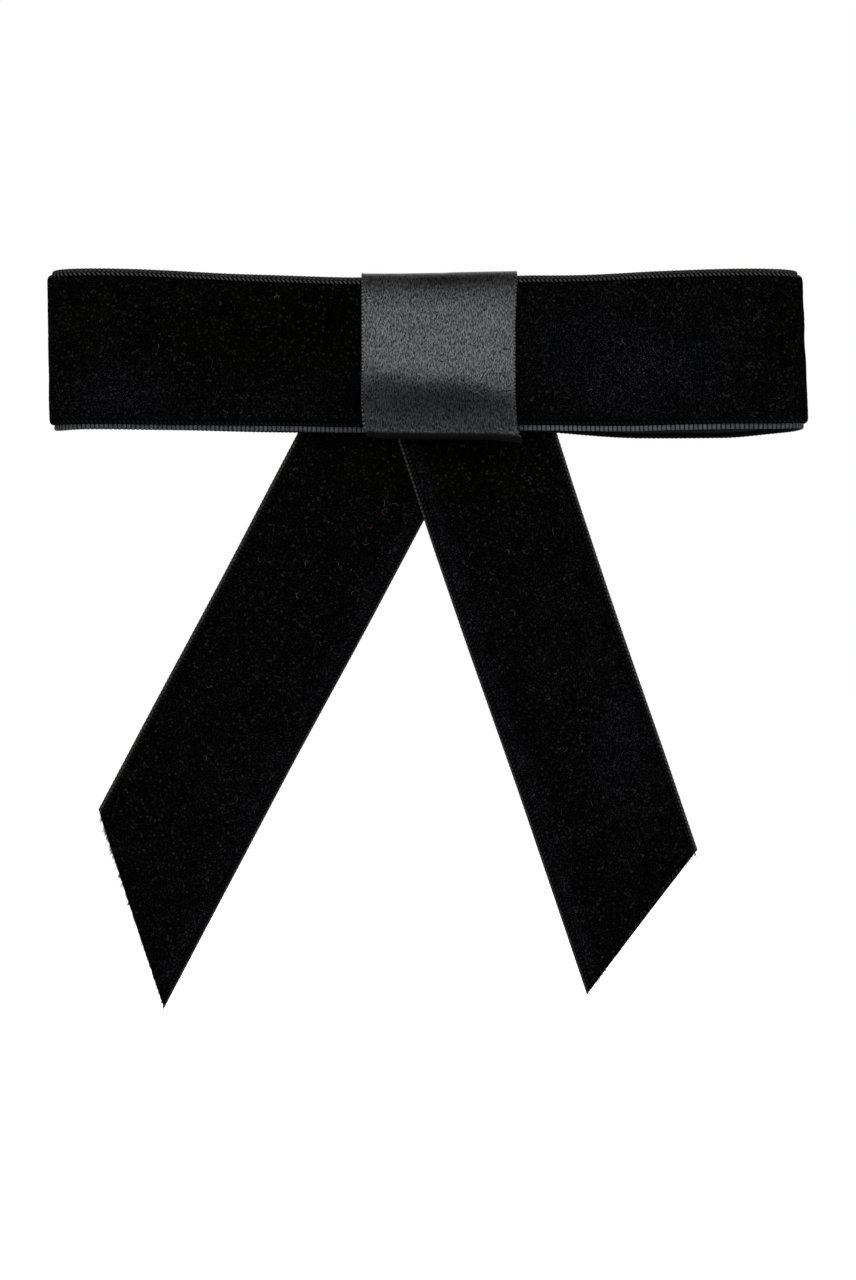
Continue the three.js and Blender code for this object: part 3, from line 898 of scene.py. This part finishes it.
def build_wrap():
    step = 0.12
    plan = even(soften(even(rounded(wrap_line()), step), 7), step)
    line = Line(np.column_stack([np.zeros(len(plan)), plan]), across=(-1, 0, 0))
    half = (WRAP_HIGH.x - WRAP_LOW.x) / 2 - 0.25
    thin = SATIN_THICK / 2
    edge = [(0.22 - half, thin * 1.15), (0.04 - half, 0.0), (0.22 - half, -thin * 1.1)]
    profile = band_profile(half - 0.5, thin, edge, face_columns=41, back_columns=9)
    rings = section_rings(square_ends(line), profile, SATIN_PITCH / 4)
    u, v, w = np.moveaxis(rings, -1, 0)
    bead = 0.5 + 0.5 * np.cos(2 * math.pi * u / SATIN_PITCH + np.where(v > 0, 0.0, 2.0))
    at_edge = smooth(np.abs(v), half - 0.34, half - 0.16)
    sideways = v * (1 + at_edge * 0.006 * (bead - 0.5))
    puffed = w * (1 + 0.5 * at_edge * (bead - 0.3)) + 0.012 * lumps(rings, 3.0, 21)
    flat = line.place(u, sideways, puffed)
    points = wrap_warp(flat)
    # Painted shade over the top roll and where the foot rolls under
    rolled = smooth(-flat[..., 2], 11.9, 12.6)
    satin_light_share = 1 - 0.6 * smooth(points[..., 2], 10.2, 13.0) - 0.85 * rolled
    shade = {"half": np.full(u.shape, half), "painted_satin_light": satin_light_share, "rolled": rolled}
    piece = grid_mesh("satin_wrap", points, rings, shade, [SATIN])
    shown(piece)
    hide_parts("centre_wrap")


# ---- backing and thread


def build_patch():
    """A felt patch with soft rounded edges. Returns its stitching line, centre and half thickness."""
    low, high = box_mm("backing_patch")
    half_x, half_z = (high.x - low.x) / 2, (high.z - low.z) / 2
    centre = np.array(((low.x + high.x) / 2, (low.y + high.y) / 2, (low.z + high.z) / 2))
    thick = (high.y - low.y) / 2
    turn = np.linspace(0, 2 * math.pi, 240, endpoint=False)
    power = 2 / 5  # of a superellipse between an oval and a rectangle
    outline = np.stack([
        half_x * np.sign(np.cos(turn)) * np.abs(np.cos(turn)) ** power,
        half_z * np.sign(np.sin(turn)) * np.abs(np.sin(turn)) ** power,
    ], -1)
    fuzz = 1 + 0.006 * lumps(np.stack([turn * 20, turn * 7], -1), 3.0, 5)[:, None]
    # From the middle of one face, over the edge, to the middle of the other: size and height
    shrink = np.array([0.0, 0.2, 0.4, 0.6, 0.8, 0.92, 0.985, 1.0, 0.985, 0.92, 0.7, 0.4, 0.0])
    level = np.array([1.0, 1.0, 1.0, 1.0, 1.0, 0.97, 0.7, 0.0, -0.7, -0.97, -1.0, -1.0, -1.0])
    flat = outline[None] * fuzz[None] * np.maximum(shrink, 0.004)[:, None, None]
    depth = np.broadcast_to((level * thick)[:, None], flat.shape[:2])
    coords = np.stack([flat[..., 0], flat[..., 1], depth], -1)
    depth = depth + 0.05 * np.sign(depth) * lumps(coords, 1.6, 8)
    points = np.stack([flat[..., 0], depth, flat[..., 1]], -1) + centre
    piece = grid_mesh("felt_patch", points, coords, {}, [FELT])
    shown(piece)
    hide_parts("backing_patch")
    return outline * 0.9, centre, thick


def tube_points(path, radius, sides):
    """Rings of points round a path, tapered to a rounded end at both ends."""
    path = np.array(path, float)
    along = np.gradient(path, axis=0)
    along /= np.linalg.norm(along, axis=1)[:, None] + 1e-12
    helper = np.array((0.31, 0.83, 0.46))  # a direction that no path runs along
    side = np.cross(along, helper)
    side /= np.linalg.norm(side, axis=1)[:, None]
    other = np.cross(along, side)
    turn = np.linspace(0, 2 * math.pi, sides, endpoint=False)[None, :, None]
    order = np.arange(len(path))
    from_end = np.minimum(order, order[::-1])
    size = radius * np.sqrt(np.clip(0.15 + from_end / 2.0, 0, 1))[:, None, None]
    return path[:, None] + size * (np.cos(turn) * side[:, None] + np.sin(turn) * other[:, None])


def many_tubes(name, paths, radius, material, sides=6):
    """Several thin tubes as one mesh."""
    vertices, faces = [], []
    for path in paths:
        rings = tube_points(path, radius, sides)
        start = len(vertices)
        vertices += (rings.reshape(-1, 3) * MM).tolist()
        last = len(vertices) - sides
        for ring in range(start, last, sides):
            for k in range(sides):
                a, b = ring + k, ring + (k + 1) % sides
                faces.append((a, b, b + sides, a + sides))
        faces.append(tuple(reversed(range(start, start + sides))))
        faces.append(tuple(range(last, last + sides)))
    mesh = bpy.data.meshes.new(name)
    mesh.from_pydata(vertices, [], faces)
    mesh.materials.append(material)
    smooth_faces(mesh)
    mesh.update()
    return link_object(name, mesh)


def build_patch_stitches(outline, centre, thick):
    """A running stitch round the patch: each stitch dips into the felt at both of its ends."""
    step = 0.15
    loop = even(np.concatenate([outline, outline[:1]]), step)
    at = np.arange(len(loop)) * step
    stitch, gap = 1.9, 1.1
    surface = centre[1] + thick
    t = np.linspace(0, 1, 9)
    paths = []
    place = 0.0
    while place + stitch < at[-1]:
        spots = np.stack([np.interp(place + t * stitch, at, loop[:, k]) for k in range(2)], -1)
        height = surface - 0.12 + 0.26 * np.sin(math.pi * t) ** 0.6
        paths.append(np.stack([spots[:, 0] + centre[0], height, spots[:, 1] + centre[2]], -1))
        place += stitch + gap
    shown(many_tubes("patch_stitches", paths, 0.17, THREAD))


def build_strap():
    """The grosgrain strap: crosswise ribs, and scalloped edges."""
    low, high = box_mm("plate_strap")
    plate_low, plate_high = box_mm("clip_plate")
    thin = 0.25
    base, crown = low.y + thin, high.y - thin
    corners = [
        (base, high.z), (base, plate_high.z + 2.4), (base, plate_high.z + 1.5), (crown, plate_high.z + 0.4),
        (crown, plate_high.z - 0.8), (crown, plate_low.z + 0.8), (crown, plate_low.z - 0.4),
        (base, plate_low.z - 1.5), (base, plate_low.z - 2.4), (base, -high.z),
    ]
    plan = even(rounded(corners, 10), 0.1)
    line = Line(np.column_stack([np.zeros(len(plan)), plan]), across=(1, 0, 0))
    half = (high.x - low.x) / 2
    edge = [(0.08 - half, 0.1), (0.08 - half, -0.1)]
    profile = band_profile(half - 0.3, thin, edge, face_columns=17, back_columns=5)
    pitch = 0.62  # from rib to rib
    rings = section_rings(square_ends(line), profile, pitch / 6)
    u, v, w = np.moveaxis(rings, -1, 0)
    rib = np.abs(np.cos(math.pi * u / pitch)) ** 0.7
    points = line.place(u, v * (1 + 0.012 * (rib - 0.5)), w * (0.62 + 0.38 * rib))
    piece = grid_mesh("grosgrain_strap", points, rings, {"rib": rib}, [GROSGRAIN])
    shown(piece)
    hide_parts("plate_strap")


def build_plate_threads():
    """Four turns of thread through each pair of sewing holes."""
    for word in ("left", "right"):
        node = f"plate_thread_{word}"
        low, high = box_mm(node)
        middle_x = (low.x + high.x) / 2
        leg = high.z - 0.4  # z of the thread's way through a hole
        paths = []
        for k, across in enumerate((-0.42, -0.14, 0.14, 0.42)):
            lift = 0.1 * (k % 2)
            corners = [
                (middle_x + across * 0.7, low.y, -leg), (middle_x + across * 0.8, high.y - 0.6, -leg),
                (middle_x + across, high.y - 0.22 + lift, -leg + 0.3),
                (middle_x + across * 1.2, high.y - 0.18 + lift, 0.0),
                (middle_x - across * 0.2 + across, high.y - 0.22 + lift, leg - 0.3),
                (middle_x + across * 0.8, high.y - 0.6, leg), (middle_x + across * 0.7, low.y, leg),
            ]
            paths.append(even(rounded(corners, 8), 0.2))
        piece = many_tubes(f"sewing_thread_{word}", paths, 0.15, THREAD)
        shown(piece)
        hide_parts(node)


# ---- fibres


LINT = (
    ("lint_pale", (0.05, 0.06, 0.065), 24),
    ("lint_red", (0.065, 0.003, 0.006), 26),
    ("lint_green", (0.010, 0.045, 0.022), 5),
    ("lint_rust", (0.08, 0.024, 0.010), 6),
)
LINT_RADIUS = 0.045
FRONT_SHIFT = 3.0  # the front's middle lies past the line's own middle, as the left loop is the longer
FRAYED_ENDS = 260  # on each tail's cut
FRAY_RADIUS = 0.05


def place_on_front(line):
    """A random length along the bow's line that lies on a loop's front, on either side of the wrap."""
    return line.length / 2 + rng.uniform(18, 55) * rng.choice((-1, 1)) + FRONT_SHIFT


def place_on_tail(_):
    """A random length along a tail's line, below the bow."""
    return TAIL_LEAD + rng.uniform(25, 85)


def build_lint():
    """A few stray fibres caught in the pile, as every velvet has."""
    surfaces = [(bow_line(), bow_warp, place_on_front)]
    surfaces += [(tail.line(), tail.cupped, place_on_tail) for tail in TAILS]
    t = np.linspace(0, 1, 8)
    height = PILE_TOP + 0.07 + 0.1 * np.sin(3 * t)
    for name, colour, count in LINT:
        paths = []
        for _ in range(count):
            line, warp, random_place = surfaces[int(rng.integers(0, 3))]
            u0 = random_place(line)
            v0 = rng.uniform(-10.5, 10.5)
            size = rng.uniform(0.35, 1.3)
            turn = rng.uniform(0, 2 * math.pi) + rng.uniform(-3.0, 3.0) * t
            u = u0 + size * t * np.cos(turn)
            v = v0 + size * t * np.sin(turn)
            paths.append(warp(line.place(u, v, height)))
        shown(many_tubes(name, paths, LINT_RADIUS, lint_material(name, colour), sides=4))


def build_frayed_cuts():
    """Loose ends of pile and weft that stand out along each slanted cut."""
    t = np.linspace(0, 1, 5)
    root = 0.4  # how far inside the cut each one starts
    paths = []
    for tail in TAILS:
        line = tail.line()
        for _ in range(FRAYED_ENDS):
            v = rng.uniform(-12.2, 12.2)
            stop = float(tail.ends(np.array(v))[1])
            reach = abs(rng.normal(0.0, 0.30)) + 0.08
            u = stop - root + t * (reach + root)
            across = v + rng.normal(0, 0.12) * t
            up = rng.uniform(-0.45, 0.5) + rng.normal(0, 0.1) * t
            paths.append(tail.cupped(line.place(u, across, up)))
    fray = lint_material("fray", (0.012, 0.012, 0.013))
    shown(many_tubes("frayed_cuts", paths, FRAY_RADIUS, fray, sides=4))


# ---- the clip


STEEL_ROUNDING = 0.09


def finish_clip():
    """The clip's CAD solids get rounded edges and their steel; the hidden seam gets its thread."""
    for name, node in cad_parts.items():
        if node.hide_render:
            continue
        node.data.materials.clear()
        node.data.materials.append(THREAD if "thread" in name else STEEL)
        round_edges = node.modifiers.new("rounded_edges", "BEVEL")
        round_edges.width = STEEL_ROUNDING * MM
        round_edges.segments = 2
        round_edges.limit_method = "ANGLE"
        round_edges.angle_limit = math.radians(35)
        node.data.shade_smooth()
        node.data.set_sharp_from_angle(angle=math.radians(40))


# ---- stage


def build_camera():
    camera = link_object("camera", bpy.data.cameras.new("camera"))
    camera.data.sensor_width = SENSOR
    camera.data.lens = SENSOR * VIEW_DISTANCE / VIEW_HEIGHT
    camera.data.clip_start, camera.data.clip_end = 0.01, 20.0
    front = WRAP_LOW.y * MM
    camera.location = (VIEW_CENTRE[0], front - VIEW_DISTANCE, VIEW_CENTRE[1])
    camera.rotation_euler = (math.radians(90), 0, 0)
    bpy.context.scene.camera = camera


def build_light(name, place, size, power, colour=(1.0, 1.0, 1.0)):
    data = bpy.data.lights.new(name, "AREA")
    data.shape = "RECTANGLE"
    data.size, data.size_y = size
    data.energy = power
    data.color = colour
    lamp = link_object(name, data)
    lamp.location = place
    lamp.rotation_euler = (Vector(LIGHT_TARGET) - Vector(place)).to_track_quat("-Z", "Y").to_euler()


def build_world():
    """A white world; only the camera sees its full white, so black stays black."""
    world = bpy.data.worlds.new("studio")
    bpy.context.scene.world = world
    world.use_nodes = True
    tree = world.node_tree
    tree.nodes.clear()
    out = tree.nodes.new("ShaderNodeOutputWorld")
    mix = tree.nodes.new("ShaderNodeMixShader")
    ray = tree.nodes.new("ShaderNodeLightPath")
    for socket, strength in ((1, WORLD_FILL), (2, 1.0)):
        background = tree.nodes.new("ShaderNodeBackground")
        background.inputs["Strength"].default_value = strength
        background.inputs["Color"].default_value = (1, 1, 1, 1)
        tree.links.new(background.outputs[0], mix.inputs[socket])
    tree.links.new(ray.outputs["Is Camera Ray"], mix.inputs[0])
    tree.links.new(mix.outputs[0], out.inputs["Surface"])


def build_floor():
    """A pale floor that the camera sees as white."""
    floor_material = Nodes("floor")
    floor_material.set(Base_Color=(0.6, 0.6, 0.6, 1.0), Roughness=0.9, Specular_IOR_Level=0.1)
    seen = floor_material.node("LightPath").outputs["Is Camera Ray"]
    glow = floor_material.spread(seen, 0.0, 1.0, FLOOR_BOUNCE, 1.0)
    floor_material.set(Emission_Color=(1.0, 1.0, 1.0, 1.0), Emission_Strength=glow)
    mesh = bpy.data.meshes.new("floor")
    corners = [(x * FLOOR_HALF, y * FLOOR_HALF, 0) for x, y in ((-1, -1), (1, -1), (1, 1), (-1, 1))]
    mesh.from_pydata(corners, [], [(0, 1, 2, 3)])
    mesh.materials.append(floor_material.material)
    floor = link_object("floor", mesh)
    floor.location.z = CAD_BOX[0].z - FLOOR_DROP


def build_lights():
    """Plain soft studio light: long strips in front, and soft boxes behind and above."""
    build_light("left_strip", (-0.85, -0.60, 0.06), (0.9, 0.16), 3.0)
    build_light("right_strip", (0.85, -0.60, 0.06), (0.9, 0.16), 3.8, (0.94, 0.97, 1.0))
    build_light("front_strip", (0.0, -1.0, 0.08), (1.2, 0.16), 3.0)
    build_light("back_box", (0.1, 0.8, 0.35), (0.8, 0.8), 5.0)
    build_light("top_box", (0.0, 0.25, 0.9), (0.8, 0.8), 5.0)


# ---- everything

build_camera()
build_world()
build_floor()
build_lights()
bpy.context.scene.view_settings.view_transform = "Standard"
build_bow_loop()
build_tails()
build_wrap()
build_patch_stitches(*build_patch())
build_strap()
build_plate_threads()
build_lint()
build_frayed_cuts()
finish_clip()
